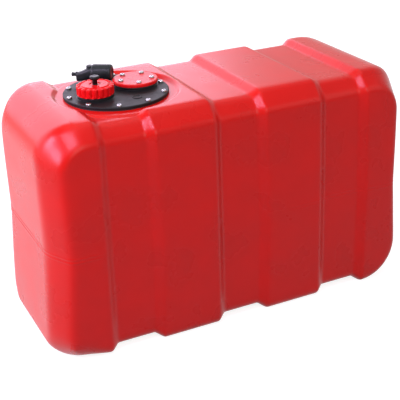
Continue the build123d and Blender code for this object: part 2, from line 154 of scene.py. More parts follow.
# ---------------------------------------------------------------- fields and curves
def soft_max(a, b, width):
    """The larger of two values, rounded where they differ by less than width:
    max(a, b) + width / 4 * (1 - |a - b| / width) squared."""
    near = np.clip(1 - np.abs(a - b) / width, 0, 1)
    return np.maximum(a, b) + near ** 2 * width / 4


def soft_min(a, b, width):
    """The smaller of two values, rounded in the same way."""
    return -soft_max(-a, -b, width)


def soft_step(value, start, end):
    """0 at start, 1 at end, with a smooth cubic between: t * t * (3 - 2 t)."""
    t = np.clip((value - start) / (end - start), 0, 1)
    return t * t * (3 - 2 * t)


# ---------------------------------------------------------------- meshes
def grid_quads(rows, columns, closed=False, flip=False):
    """Quads between neighbouring points of a grid, counted row by row; closed joins the last column to
    the first."""
    last = columns if closed else columns - 1
    row, column = np.meshgrid(np.arange(rows - 1), np.arange(last), indexing="ij")
    after = (column + 1) % columns
    quads = np.stack([row * columns + column, (row + 1) * columns + column,
                      (row + 1) * columns + after, row * columns + after], -1).reshape(-1, 4)
    return quads[:, ::-1] if flip else quads


def make_piece(name, grids, material, body, nodes, smooth_angle=None):
    """One mesh object from grids of points in millimetres, each given as (points, closed, flip).
    Points that fall together are merged, so seams and poles close. Edges past the angle stay sharp."""
    points, quads, start = [], [], 0
    for grid, closed, flip in grids:
        rows, columns = grid.shape[:2]
        quads.append(grid_quads(rows, columns, closed, flip) + start)
        points.append(grid.reshape(-1, 3))
        start += rows * columns
    mesh = bpy.data.meshes.new(name)
    mesh.from_pydata((np.concatenate(points) * MM).tolist(), [], np.concatenate(quads).tolist())
    work = bmesh.new()
    work.from_mesh(mesh)
    bmesh.ops.remove_doubles(work, verts=work.verts, dist=MERGE_DISTANCE)
    bmesh.ops.dissolve_degenerate(work, edges=work.edges, dist=SHORTEST_EDGE)
    work.to_mesh(mesh)
    work.free()
    mesh.polygons.foreach_set("use_smooth", np.ones(len(mesh.polygons), bool))
    if smooth_angle:
        mesh.set_sharp_from_angle(angle=math.radians(smooth_angle))
    mesh.materials.append(material)
    piece = bpy.data.objects.new(name, mesh)
    bpy.context.scene.collection.objects.link(piece)
    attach(piece, body)
    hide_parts(*nodes)


def even_angles(count):
    """Angles all the way round, evenly spaced from 0."""
    return np.arange(count) * FULL_TURN / count


def carried_round(centre, radius, height):
    """Rings round a vertical axis: x = cx + r cos a, y = cy + r sin a. Radius and height may differ at
    each angle, and the centre from ring to ring."""
    angle = even_angles(radius.shape[1])
    x = np.reshape(centre[0], (-1, 1)) + radius * np.cos(angle)
    y = np.reshape(centre[1], (-1, 1)) + radius * np.sin(angle)
    return np.stack([x, y, height], -1), True, False


def spread_round(profile, count):
    """The radii and the heights of a profile of (radius, height), each repeated at every angle."""
    profile = np.array(profile, float)
    return np.repeat(profile[:, :1], count, 1), np.repeat(profile[:, 1:2], count, 1)


def turned(profile, centre=(0.0, 0.0), count=96):
    """A profile of (radius, height) carried round the vertical axis through centre. It runs from the
    top outwards, down and back in, so that its faces point out."""
    return carried_round(centre, *spread_round(profile, count))


def laid_along(grid, origin, along):
    """Turns a shape made round the Z axis so that Z points along a level direction through origin:
    p = origin + x * side + y * up + z * along, where side, up and along are square to each other."""
    points, closed, flip = grid
    side = np.array([-along[1], along[0], 0.0])
    up = np.cross(along, side)
    moved = origin + points[..., :1] * side + points[..., 1:2] * up + points[..., 2:] * along
    return moved, closed, flip


# ---------------------------------------------------------------- the moulded tank
HALF_LENGTH = 327.5  # at the floor, before the edges are rounded
HALF_WIDTH = (SHELL_HIGH[1] - SHELL_LOW[1]) / 2 - 0.7  # the seam ridge stands on it
HEIGHT = SHELL_HIGH[2]
FACE_DRAFT = 3.5  # how far the long faces lean in at their edges
DRAFT_RUN = 168.0  # seam to those edges
SEAM_BEND = 10.0  # rounds the long faces' bend at the seam
BEVEL_RUN = 27.0
BEVEL_DROP = 29.0
BEVEL_EDGE = HALF_WIDTH - FACE_DRAFT + 1.5  # half width where the bevel meets the long face
BEVEL_START = BEVEL_EDGE - BEVEL_RUN  # half width of the flat top
TOP_SLOPE = BEVEL_DROP / BEVEL_RUN
END_SLOPE = 0.52  # the bevel is flatter across the ends
CORNER_DIP = 0.12  # and flattest, so widest, at the upper corners
END_INSET = 24.0  # how far the long face ends inside the tank's end
END_LEAN = 8.0  # how far each end leans in from the floor to the top
UPPER_RADIUS, UPPER_RADIUS_FACE = 58.0, 43.0  # of the tank's outline and of the long face
LEFT_FOOT_RADIUS, LEFT_FOOT_RADIUS_FACE = 24.0, 50.0
RIGHT_FOOT_RADIUS, RIGHT_FOOT_RADIUS_FACE = 90.0, 76.0
SEAM_PINCH = 4.5  # how far the ends are drawn in at the seam
PINCH_RUN = 120.0
RECESS_PITCH = 191.5
RECESS_HALF_WIDTH = 45.75
RECESS_FLANK = 12.9  # width of a sloping flank
RECESS_BEND = 0.26  # rounding of its bends, as a share of the depth
RIB_WAIST = 1.3  # how much wider each half recess is at the seam
RIDGE_PLACE, RIDGE_WIDTH = 3.0, 1.15  # above and below the seam
FLOOR_EDGE_SOFTNESS = 17.0  # rounding under the long faces
FLOOR_END_SOFTNESS = 30.0  # added to it at the flange's end, over the run below
FLOOR_END_FROM, FLOOR_END_TO = 225.0, 300.0
TOP_EDGE_SOFTNESS = 6.5
FACE_EDGE_SOFTNESS = 5.0

WELL_FLOOR = box_mm("flange_gasket")[0][2]
WELL_FLOOR_RADIUS = 97.0
WELL_PAD_RADIUS = 103.0
WELL_RING_RADIUS = 107.5  # the mesh is round from here inwards
WELL_BLOCK_REACH = 115.0  # and a plain grid past here, from the flange's middle
HAND_HOLE_RADIUS = 66.0

# the inner box that the rays leave, and how far they spread sideways at its edges
CORE_TO_CORNER = 84.0
CORE_X, CORE_Y, CORE_LOW, CORE_HIGH = 246.0, 113.0, 28.0, HEIGHT - CORE_TO_CORNER
SPREAD_X, SPREAD_Y, SPREAD_DOWN, SPREAD_UP = HALF_LENGTH - CORE_X, 30.0, 28.0, CORE_TO_CORNER
LONGEST_RAY, HALVINGS = 1.6, 26


def side_outline(x, z, share, seam):
    """Distance to the tank's side outline, a rounded rectangle: in the middle at share 0, and drawn in at
    the top and ends to the long face at share 1. Its ends lean in and are pinched at the seam."""
    pinch = SEAM_PINCH * soft_max(1 - np.abs(z - seam) / PINCH_RUN, 0.0, 0.3)
    reach = HALF_LENGTH - END_INSET * share - pinch - END_LEAN * z / HEIGHT
    top = HEIGHT - BEVEL_DROP * share
    upper = UPPER_RADIUS + (UPPER_RADIUS_FACE - UPPER_RADIUS) * share
    left = LEFT_FOOT_RADIUS + (LEFT_FOOT_RADIUS_FACE - LEFT_FOOT_RADIUS) * share
    right = RIGHT_FOOT_RADIUS + (RIGHT_FOOT_RADIUS_FACE - RIGHT_FOOT_RADIUS) * share
    radius = np.where(z > seam, upper, np.where(x > 0, right, left))
    over_x = np.abs(x) - (reach - radius)
    over_z = np.where(z > seam, z - (top - radius), radius - z)
    outside = np.hypot(np.maximum(over_x, 0), np.maximum(over_z, 0))
    return outside + np.minimum(np.maximum(over_x, over_z), 0) - radius


def bevel_slope(x, z):
    """How fast the bevel falls towards the long face, by the angle round the upper corner, 0 at the end
    and 90 degrees at the top: end + (top - end) * sin squared - dip * (sin of twice the angle) squared."""
    centre_x = HALF_LENGTH - END_INSET - UPPER_RADIUS_FACE - 6.0
    centre_z = HEIGHT - BEVEL_DROP - UPPER_RADIUS_FACE
    angle = np.arctan2(np.maximum(z - centre_z, 0), np.maximum(np.abs(x) - centre_x, 0))
    return END_SLOPE + (TOP_SLOPE - END_SLOPE) * np.sin(angle) ** 2 - CORNER_DIP * np.sin(2 * angle) ** 2


def recess_depth(x, z, depth, seam):
    """Depth of the three strap recesses: depth * ramp over each sloping flank, both bends rounded. The
    ribs are a little narrower at the seam."""
    waist = RIB_WAIST * np.clip(1 - np.abs(z - seam) / DRAFT_RUN, 0, 1)
    nearest = x - RECESS_PITCH * np.clip(np.round(x / RECESS_PITCH), -1, 1)
    run = (RECESS_HALF_WIDTH + waist - np.abs(nearest)) / RECESS_FLANK
    return depth * soft_min(soft_max(run, 0.0, RECESS_BEND), 1.0, RECESS_BEND)


def seam_ridge(x, z, height, seam):
    """A fine ridge above the seam and one below: height * exp(-(z / width) squared), strong at the left
    end, faint along the long faces and a little stronger at the right."""
    strength = 0.06 + 0.94 * soft_step(-x, 228.0, 262.0) + 0.35 * soft_step(x, 20.0, 150.0)
    lines = sum(np.exp(-((z - seam - place) / RIDGE_WIDTH) ** 2) for place in (-RIDGE_PLACE, RIDGE_PLACE))
    return height * strength * lines


def tank_field(x, y, z, sizes):
    """Below 0 inside the tank. It is the largest of three fields with rounded meetings: the side outline,
    the bevel, which is the drawn-in outline less slope * (distance in from the long face), and the two
    leaning long faces. The recesses are added and the seam's ridges taken off."""
    seam = sizes.seam_height / MM
    across = np.abs(y)
    lean = FACE_DRAFT * (np.hypot(z - seam, SEAM_BEND) - SEAM_BEND) / DRAFT_RUN
    face = across - (HALF_WIDTH - lean)
    outer = side_outline(x, z, 0.0, seam)
    slope = bevel_slope(x, z)
    bevel = (side_outline(x, z, 1.0, seam) - slope * (BEVEL_EDGE - across)) / np.hypot(1, slope)
    softness = np.interp(across, [BEVEL_START, BEVEL_EDGE], [TOP_EDGE_SOFTNESS, FACE_EDGE_SOFTNESS])
    floor_softness = FLOOR_EDGE_SOFTNESS + FLOOR_END_SOFTNESS * soft_step(-x, FLOOR_END_FROM, FLOOR_END_TO)
    body = soft_max(bevel, soft_max(outer, face, floor_softness), softness)
    recess = recess_depth(x, z, sizes.recess_depth / MM, seam)
    return body + recess - seam_ridge(x, z, sizes.seam_ridge / MM, seam)


def cast(origin, direction, inset, sizes):
    """Where rays leave the tank: the share s in origin + s * direction at which the field plus inset
    passes 0, halved in on from 0 and the longest ray."""
    origin, direction = np.broadcast_arrays(origin, direction)
    low, high = np.zeros(origin.shape[:-1]), np.full(origin.shape[:-1], LONGEST_RAY)
    for _ in range(HALVINGS):
        half = (low + high) / 2
        p = origin + half[..., None] * direction
        inside = tank_field(p[..., 0], p[..., 1], p[..., 2], sizes) + inset < 0
        low, high = np.where(inside, half, low), np.where(inside, high, half)
    return origin + low[..., None] * direction


def stations(flat, low_spread, high_spread, fan):
    """Places along one axis and the sideways spread of their rays: none on the flat stretch, then a fan
    at each end."""
    place = np.concatenate([np.full(len(fan), flat[0]), flat, np.full(len(fan), flat[-1])])
    spread = np.concatenate([-low_spread * fan[::-1], np.zeros(len(flat)), high_spread * fan])
    return place, spread


def along_tank():
    """Stations along the flat stretch, close together on the recess flanks."""
    marks = [-CORE_X]
    for centre in (-RECESS_PITCH, 0.0, RECESS_PITCH):
        outer, inner = RECESS_HALF_WIDTH + 4.0, RECESS_HALF_WIDTH - RECESS_FLANK - 4.0
        marks.extend(np.linspace(centre - outer, centre - inner, 12))
        marks.extend(np.linspace(centre - inner, centre + inner, 8)[1:-1])
        marks.extend(np.linspace(centre + inner, centre + outer, 12))
        if centre < RECESS_PITCH:
            marks.extend(np.linspace(centre + outer, centre + RECESS_PITCH - outer, 13)[1:-1])
    marks.append(CORE_X)
    return np.array(marks)


def well_height(x, y, base):
    """The top's height with the flange well sunk in it and its floor carried across the recess:
    max(min(base, floor + (r - floor radius)), floor - (r - pad radius)), each meeting rounded."""
    r = np.hypot(x - FLANGE_AT[0], y - FLANGE_AT[1])
    side = WELL_FLOOR + soft_max(r - WELL_FLOOR_RADIUS, 0.0, 2.5)
    pad = WELL_FLOOR - soft_max(r - WELL_PAD_RADIUS, 0.0, 2.5)
    return soft_max(soft_min(base, side, 2.6), pad, 1.2)


def ring_angles(x, y):
    """Direction on the well's circle for each point of the block's edge. Points of the long sides keep
    their x as far as they can, so that the recess flanks run straight; the rest share the remaining arc."""
    u, v = x - FLANGE_AT[0], y - FLANGE_AT[1]
    straight, circle, corner = 83.0, WELL_RING_RADIUS, math.radians(20)
    keep = np.arccos(np.clip(np.abs(u) / circle, 0, straight / circle))
    spread = math.acos(straight / circle) + (corner - math.acos(straight / circle)) * np.clip(
        (np.abs(u) - straight) / (np.abs(u).max() - straight), 0, 1)
    long_side = np.where(np.abs(u) <= straight, keep, spread)
    edge = np.abs(v).max()
    angle = np.where(np.abs(v) > edge - 0.01, long_side, corner * np.abs(v) / edge)
    return np.arctan2(np.sign(v) * np.sin(angle), np.sign(u) * np.cos(angle))


def tank_wall(inset, sizes):
    """One skin of the tank as grids, and the edge of its hand hole. Rays leave an inner core box: square
    to it from its flat sides and fanned out at its edges, so that the six sides share their borders."""
    fan = np.linspace(0, 1, 13)[1:]
    wide_fan = np.array([.035, .07, .11, .16, .22, .3, .42, .6, .8, 1.0])
    high_fan = np.array([.1, .2, .3, .4, .48, .54, .58, .61, .64, .67, .71, .77, .87, 1.0])
    seam = sizes.seam_height / MM
    upright = np.concatenate([np.linspace(CORE_LOW, seam - 8, 16)[:-1], np.linspace(seam - 8, seam + 8, 15),
                              np.linspace(seam + 8, CORE_HIGH, 13)[1:]])
    px, sx = stations(along_tank(), SPREAD_X, SPREAD_X, fan)
    py, sy = stations(np.linspace(-CORE_Y, CORE_Y, 36), SPREAD_Y, SPREAD_Y, wide_fan)
    pz, sz = stations(upright, 0, SPREAD_UP, high_fan)
    sz[:len(high_fan)] = -SPREAD_DOWN * high_fan[::-1]

    def side(first, second, axis, place, spread):
        shape = (len(first[0]), len(second[0]), 3)
        origin, direction = np.empty(shape), np.empty(shape)
        others = [a for a in range(3) if a != axis]
        origin[..., axis], direction[..., axis] = place, spread
        for other, (p, s), turn in ((others[0], first, np.s_[:, None]), (others[1], second, np.s_[None])):
            origin[..., other], direction[..., other] = p[turn], s[turn]
        return cast(origin, direction, inset, sizes)

    inward = inset > 0
    grids = [
        (side((px, sx), (pz, sz), 1, -CORE_Y, -SPREAD_Y), False, inward),
        (side((px, sx), (pz, sz), 1, CORE_Y, SPREAD_Y), False, not inward),
        (side((py, sy), (pz, sz), 0, -CORE_X, -SPREAD_X), False, not inward),
        (side((py, sy), (pz, sz), 0, CORE_X, SPREAD_X), False, inward),
        (side((px, sx), (py, sy), 2, CORE_LOW, -SPREAD_DOWN), False, not inward),
    ]
    top = side((px, sx), (py, sy), 2, CORE_HIGH, SPREAD_UP)
    ideal = np.where(sx < 0, px - CORE_TO_CORNER * np.sin(np.arctan(-sx / SPREAD_UP)), px)
    first, last = np.searchsorted(ideal, [FLANGE_AT[0] - WELL_BLOCK_REACH, FLANGE_AT[0] + WELL_BLOCK_REACH])
    near, far = len(wide_fan), len(py) - len(wide_fan) - 1
    grids += [(top[:first + 1], False, inward), (top[last:], False, inward),
              (top[first:last + 1, :near + 1], False, inward), (top[first:last + 1, far:], False, inward)]
    edge = np.concatenate([top[first:last, near], top[last, near:far], top[last:first:-1, far],
                           top[first, far:near:-1]])
    angle = ring_angles(edge[:, 0], edge[:, 1])
    ray = np.stack([np.cos(angle), np.sin(angle)], -1)
    centre = FLANGE_AT[:2]
    rim = centre + WELL_RING_RADIUS * ray
    spokes = [edge[:, :2] + (rim - edge[:, :2]) * t for t in np.linspace(0, 1, 6)[1:]]
    radii = [106.3, 105.3, 104.4, 103.6, 102.8, 102, 101, 100, 99.2, 98.4, 97.6, 96.8, 96, 95, 93, 88, 80, 72,
             HAND_HOLE_RADIUS]
    spokes += [centre + r * ray for r in radii]
    flat = np.array(spokes)
    origin = np.concatenate([flat, np.full(flat.shape[:2] + (1,), CORE_HIGH)], -1)
    skin = cast(origin, np.array([0, 0, SPREAD_UP]), 0.0, sizes)
    skin[..., 2] = well_height(skin[..., 0], skin[..., 1], skin[..., 2]) - inset
    rings = np.concatenate([edge[None], skin])
    grids.append((rings, True, not inward))
    return grids, rings[-1]


class FUELTANK_OT_tank(bpy.types.Operator):
    """Builds the rotomoulded tank with its wall, ribs, strap recesses, seam and flange well"""

    bl_idname = "fuel_tank.tank"
    bl_label = "Tank"

    def execute(self, context):
        sizes = context.scene.tank_sizes
        outside, outer_hole = tank_wall(0.0, sizes)
        inside, inner_hole = tank_wall(sizes.wall / MM, sizes)
        hole = (np.array([outer_hole, inner_hole]), True, True)
        plastic = rotomoulded_polyethylene(context.scene.tank_colours.tank)
        make_piece("tank_body", outside + inside + [hole], plastic, "tank", ["tank_shell"])
        return {"FINISHED"}


# ---------------------------------------------------------------- service flange
FLANGE_BOX_LOW, FLANGE_BOX_HIGH = box_mm("access_flange")
FLANGE_RADIUS = (FLANGE_BOX_HIGH[0] - FLANGE_BOX_LOW[0]) / 2
FLANGE_FACE = box_mm("flange_screws")[1][2] - 3.0  # the screw heads are 3 mm high
NECK_TOP = box_mm("cap_seal")[0][2]
NECK_LOW = FLANGE_BOX_LOW[2]
NECK_RADIUS, NECK_BORE, COLLAR_RADIUS, COLLAR_HEIGHT = 25.0, 20.0, 28.8, 4.4
THREAD_DEPTH, THREAD_COUNT = 0.9, 3
THREAD_ROOT = NECK_RADIUS - THREAD_DEPTH
TURRET_RADIUS, TURRET_TOP = 34.5, box_mm("plate_gasket")[0][2]
BOSS_RADIUS, BOSS_TOP, STEM_HOLE = 12.0, box_mm("head_seal")[0][2], 7.75
PORT_AT = 2 * FLANGE_AT[:2] - STEM_AT[:2]
PORT_RADIUS, PORT_RIM = 8.0, 1.6


def between(first, last, count):
    """Evenly spaced rows from first to last."""
    share = np.linspace(0, 1, count)[:, None]
    return np.array(first, float) + share * (np.array(last, float) - np.array(first, float))


def flange_rings():
    """The flange as rings of (centre x, centre y, radius, height): round its edge, in across its face to
    the collar, up the threaded neck, down the bore and out again below. The centre moves from the
    flange's to the neck's as the rings cross the face."""
    fx, fy, cx, cy = *FLANGE_AT[:2], *CAP_AT[:2]
    low, top, edge = FLANGE_LOW, FLANGE_FACE, 1.5
    turn = np.linspace(0, math.pi / 2, 5)
    rim = np.stack([np.full(5, fx), np.full(5, fy), FLANGE_RADIUS - edge + edge * np.cos(turn),
                    top - edge + edge * np.sin(turn)], 1)
    collar_top = top + COLLAR_HEIGHT
    rows = [
        [(fx, fy, FLANGE_RADIUS - 0.5, low), (fx, fy, FLANGE_RADIUS, low + 0.5)], rim,
        between((fx, fy, FLANGE_RADIUS - 3, top), (cx, cy, COLLAR_RADIUS + 0.8, top), 9),
        [(cx, cy, COLLAR_RADIUS, top + 0.5), (cx, cy, COLLAR_RADIUS, collar_top - 0.8),
         (cx, cy, COLLAR_RADIUS - 0.8, collar_top), (cx, cy, NECK_RADIUS, collar_top)],
        between((cx, cy, THREAD_ROOT, collar_top), (cx, cy, THREAD_ROOT, NECK_TOP - 0.6), 30),
        [(cx, cy, THREAD_ROOT - 0.6, NECK_TOP), (cx, cy, NECK_BORE + 0.6, NECK_TOP),
         (cx, cy, NECK_BORE, NECK_TOP - 0.6), (cx, cy, NECK_BORE, NECK_LOW),
         (cx, cy, THREAD_ROOT, NECK_LOW), (cx, cy, THREAD_ROOT, low)],
        [(fx, fy, FLANGE_RADIUS - 0.5, low)],
    ]
    return np.concatenate([np.array(part, float) for part in rows])


def flange_disc():
    """The flange's rings, with a thread of three turns on the neck: the radius grows by
    depth * cos(2 pi height / pitch - angle), cut off below 0 and above the crest, and runs out at both
    ends."""
    rows, count = flange_rings(), 180
    radius, height = spread_round(rows[:, 2:], count)
    angle = even_angles(count)
    start, end = FLANGE_FACE + COLLAR_HEIGHT + 1.5, NECK_TOP - 1.2
    pitch = (end - start) / THREAD_COUNT
    on_neck = (np.abs(radius - THREAD_ROOT) < 0.01) & (height > start - 1) & (height < end + 0.6)
    crest = np.clip(1.6 * np.cos(FULL_TURN * (height - start) / pitch - angle), 0, 1)
    run_out = soft_step(height, start - 0.6, start + 1.2) * (1 - soft_step(height, end - 1.2, end + 0.4))
    radius = radius + np.where(on_neck, THREAD_DEPTH * crest * run_out, 0)
    return carried_round((rows[:, 0], rows[:, 1]), radius, height)


class FUELTANK_OT_flange(bpy.types.Operator):
    """Builds the black service flange with its filler neck, sender port, outlet port and spare port"""

    bl_idname = "fuel_tank.flange"
    bl_label = "Service flange"

    def execute(self, context):
        nylon = moulded_nylon("glass-filled black nylon", context.scene.tank_colours.flange, 0.48)
        top, sunk = FLANGE_FACE, FLANGE_FACE - 1.0
        turret = [(0, TURRET_TOP), (TURRET_RADIUS - 0.8, TURRET_TOP), (TURRET_RADIUS - 0.2, TURRET_TOP - 0.3),
                  (TURRET_RADIUS, TURRET_TOP - 0.9), (TURRET_RADIUS, top + 0.6), (TURRET_RADIUS + 0.6, top),
                  (TURRET_RADIUS + 0.6, sunk), (0, sunk)]
        boss = [(STEM_HOLE, BOSS_TOP), (BOSS_RADIUS - 0.5, BOSS_TOP), (BOSS_RADIUS, BOSS_TOP - 0.5),
                (BOSS_RADIUS, top + 0.4), (BOSS_RADIUS + 0.4, top), (BOSS_RADIUS + 0.4, sunk),
                (STEM_HOLE, sunk), (STEM_HOLE, BOSS_TOP)]
        rim = PORT_RADIUS - PORT_RIM
        port = [(0, top + 0.05), (rim - 0.3, top + 0.05), (rim, top + 0.3), (rim + 0.5, top + 0.8),
                (PORT_RADIUS - 0.4, top + 0.8), (PORT_RADIUS, top + 0.4), (PORT_RADIUS, sunk), (0, sunk)]
        grids = [flange_disc(), turned(turret, PLATE_AT), turned(boss, STEM_AT), turned(port, PORT_AT, 48)]
        make_piece("service_flange", grids, nylon, "tank", ["access_flange"], 40)
        return {"FINISHED"}


# ---------------------------------------------------------------- filler cap and vent screw
CAP_RADIUS = 30.0
CAP_BORE = 25.3
CAP_FLUTES = 18
FLUTE_DEPTH = 2.3
CAP_TURN = 0.32  # a groove's place, and below it the direction of the channel between the raised halves
CHANNEL_TURN = -1.84
CAP_EDGE = 2.4  # rounding of the cap's upper edge
VENT_HOLE = 2.9
VENT_RIBS = 18


class FUELTANK_OT_filler_cap(bpy.types.Operator):
    """Builds the red fluted filler cap with its two raised half rounds and the hole of the vent screw"""

    bl_idname = "fuel_tank.filler_cap"
    bl_label = "Filler cap"

    def execute(self, context):
        plastic = moulded_polypropylene("moulded red polypropylene", context.scene.tank_colours.fitting)
        make_piece("fluted_cap", [cap_surface()], plastic, "filler_cap", ["filler_cap"], 50)
        return {"FINISHED"}


def cap_surface():
    """The cap as rings from the vent hole out over the top, down the grip and back up inside. The grip's
    radius is r - depth * (1 - |sin(9 a)|) ** 1.5, which leaves broad round lobes between narrow grooves;
    the grooves run in over the top and fade. Two half rounds stand up beside a straight channel, inside
    a ring groove."""
    low, top = CAP_LOW[2], CAP_HIGH[2]
    ceiling, hole, edge = top - 3.0, 4.3, CAP_EDGE
    turn = np.linspace(0, math.pi / 2, 9)[1:]
    vent = [(VENT_HOLE, ceiling), (VENT_HOLE, top - 1.5), (hole, top - 1.5), (hole, top - 0.9)]
    outer = np.concatenate([
        between((hole, top), (CAP_RADIUS - edge, top), 40),
        np.stack([CAP_RADIUS - edge + edge * np.sin(turn), top - edge + edge * np.cos(turn)], 1),
        between((CAP_RADIUS, top - edge - 1), (CAP_RADIUS - 0.3, low + 0.8), 8)])
    inner = [(CAP_RADIUS - 0.9, low), (CAP_BORE + 0.7, low), (CAP_BORE, low + 0.7), (CAP_BORE, ceiling),
             (VENT_HOLE, ceiling)]
    profile = np.concatenate([vent, outer, inner])
    count = CAP_FLUTES * 24
    angle = even_angles(count)
    radius, height = spread_round(profile, count)
    row = np.arange(len(profile))[:, None]
    outside = (row >= len(vent)) & (row < len(vent) + len(outer))
    groove = (1 - np.abs(np.sin(CAP_FLUTES / 2 * (angle - CAP_TURN)))) ** 1.5
    reach = soft_step(radius, 21.0, 29.0) * outside
    grip = soft_step(radius, CAP_RADIUS - edge, CAP_RADIUS) * outside
    on_top = outside & (height > top - edge)
    sideways = radius * np.sin(angle - CHANNEL_TURN)
    raised = soft_step(np.abs(sideways), 3.6, 5.6) * (1 - soft_step(radius, 20.5, 22.5))
    ring = np.exp(-((radius - 23.6) / 0.9) ** 2) * soft_step(np.abs(sideways), 3.0, 6.0)
    sink = 1.3 - 1.3 * raised * soft_step(radius, 8.6, 10.0) + 0.9 * ring + 1.1 * groove * reach
    crown = 0.9 * (1 - ((radius - 26.0) / 3.0) ** 2).clip(0, 1)
    sink = sink - crown * (1 - groove)
    height = np.where(on_top, height - np.maximum(sink, 0) * soft_step(CAP_RADIUS - radius, 0.0, 2.0), height)
    radius = radius - FLUTE_DEPTH * groove * grip
    return carried_round(CAP_AT, radius, height)


class FUELTANK_OT_vent_screw(bpy.types.Operator):
    """Builds the black knurled vent screw in the cap's middle"""

    bl_idname = "fuel_tank.vent_screw"
    bl_label = "Vent screw"

    def execute(self, context):
        nylon = moulded_nylon("moulded black nylon", context.scene.tank_colours.flange, 0.34)
        low, top = VENT_LOW[2], VENT_HIGH[2]
        head = top - 5.5
        profile = [(0, top - 0.5), (3.0, top - 0.35), (5.0, top), (6.4, top - 0.1), (7.2, top - 0.5),
                   (7.8, top - 1.4), (8.0, top - 2.6), (7.9, head + 1.2), (7.3, head + 0.4), (6.2, head),
                   (4.6, head - 0.2), (4.0, head - 1.0), (4.0, low + 3.2), (3.8, low + 3.0), (2.6, low + 3.0),
                   (2.6, low + 0.3), (2.3, low), (0, low)]
        count = VENT_RIBS * 8
        radius, height = spread_round(profile, count)
        notch = (0.5 - 0.5 * np.cos(VENT_RIBS * even_angles(count))) ** 2
        radius = radius - 0.75 * notch * soft_step(radius, 6.6, 7.6) * (height > head)
        make_piece("vent_knob", [carried_round(VENT_AT, radius, height)], nylon, "vent_screw",
                   ["vent_screw"], 50)
        return {"FINISHED"}


# ---------------------------------------------------------------- blank plate
class FUELTANK_OT_blank_plate(bpy.types.Operator):
    """Builds the round red plate that closes the sender port"""

    bl_idname = "fuel_tank.blank_plate"
    bl_label = "Blank plate"

    def execute(self, context):
        plastic = moulded_polypropylene("pressed red polypropylene", context.scene.tank_colours.fitting)
        low, top = PLATE_LOW[2], PLATE_HIGH[2]
        edge = (PLATE_HIGH[0] - PLATE_LOW[0]) / 2
        turn = np.linspace(0, math.pi / 2, 6)
        soft = 1.8
        over = np.stack([edge - soft + soft * np.sin(turn), top - soft + soft * np.cos(turn)], 1)
        profile = np.concatenate([between((0, top - 0.25), (edge - 6, top - 0.1), 8), over,
                                  [(edge, low + 0.6), (edge - 0.6, low), (0, low)]])
        make_piece("round_plate", [turned(profile, PLATE_AT, 144)], plastic, "tank",
                   ["blank_plate"], 40)
        return {"FINISHED"}


# ---------------------------------------------------------------- fuel outlet head
HEAD_TURN = math.radians(-36.0)
HEAD_AXIS = np.array([math.cos(HEAD_TURN), math.sin(HEAD_TURN), 0.0])
BARREL_RADIUS, BARREL_FRONT, BARREL_BACK = 13.4, 25.5, 5.0
PLUG_LENGTH = 3.6
BODY_END = -31.0  # along the head's axis, where the hose tail starts
TAIL_LENGTH = 8.0
BARREL_AT = np.array([STEM_AT[0], STEM_AT[1], FLANGE_FACE + 19.6])
TAIL_AT = np.array([STEM_AT[0], STEM_AT[1], FLANGE_FACE + 15.2])
BLEED_STEM = 2.5  # how deep the bleed screw's stem reaches
FOOT_LOW = box_mm("head_seal")[1][2]
STEM_LOW = box_mm("outlet_head")[0][2]


def head_body():
    """The body between the barrel and the hose tail: rounded squares set along a level line,
    |2 y / width| ** n + |2 z / height| ** n = 1, with width, height, middle and n changing smoothly from
    the barrel's neck to the tail's end, and closed by a rounded end."""
    along = np.array([4.0, 0.0, -4.0, -9.0, -14.0, -19.0, -24.0, -27.5, -29.6, -30.6, -31.0, -31.0])
    share = np.clip(along / BODY_END, 0, 1)
    ease = soft_step(share, 0, 1)
    shrink = np.array([1, 1, 1, 1, 1, 1, 1, 1, 0.96, 0.86, 0.7, 0.0])
    width = (19.0 - 7.0 * ease) * shrink
    height = (21.0 - 6.4 * ease) * shrink
    middle = BARREL_AT[2] + (FLANGE_FACE + 11.5 - BARREL_AT[2]) * ease
    power = 2.6 + 1.6 * share
    angle = even_angles(48)
    cos, sin = np.cos(angle)[None], np.sin(angle)[None]
    scale = (np.abs(cos) ** power[:, None] + np.abs(sin) ** power[:, None]) ** (-1 / power[:, None])
    side, up = width[:, None] / 2 * cos * scale, height[:, None] / 2 * sin * scale
    across = np.array([-HEAD_AXIS[1], HEAD_AXIS[0], 0.0])
    points = (np.array([STEM_AT[0], STEM_AT[1], 0.0]) + along[:, None, None] * HEAD_AXIS
              + side[..., None] * across)
    points[..., 2] = middle[:, None] + up
    start = points[:1].mean(1, keepdims=True) + 0 * points[:1]
    return np.concatenate([start, points]), True, True


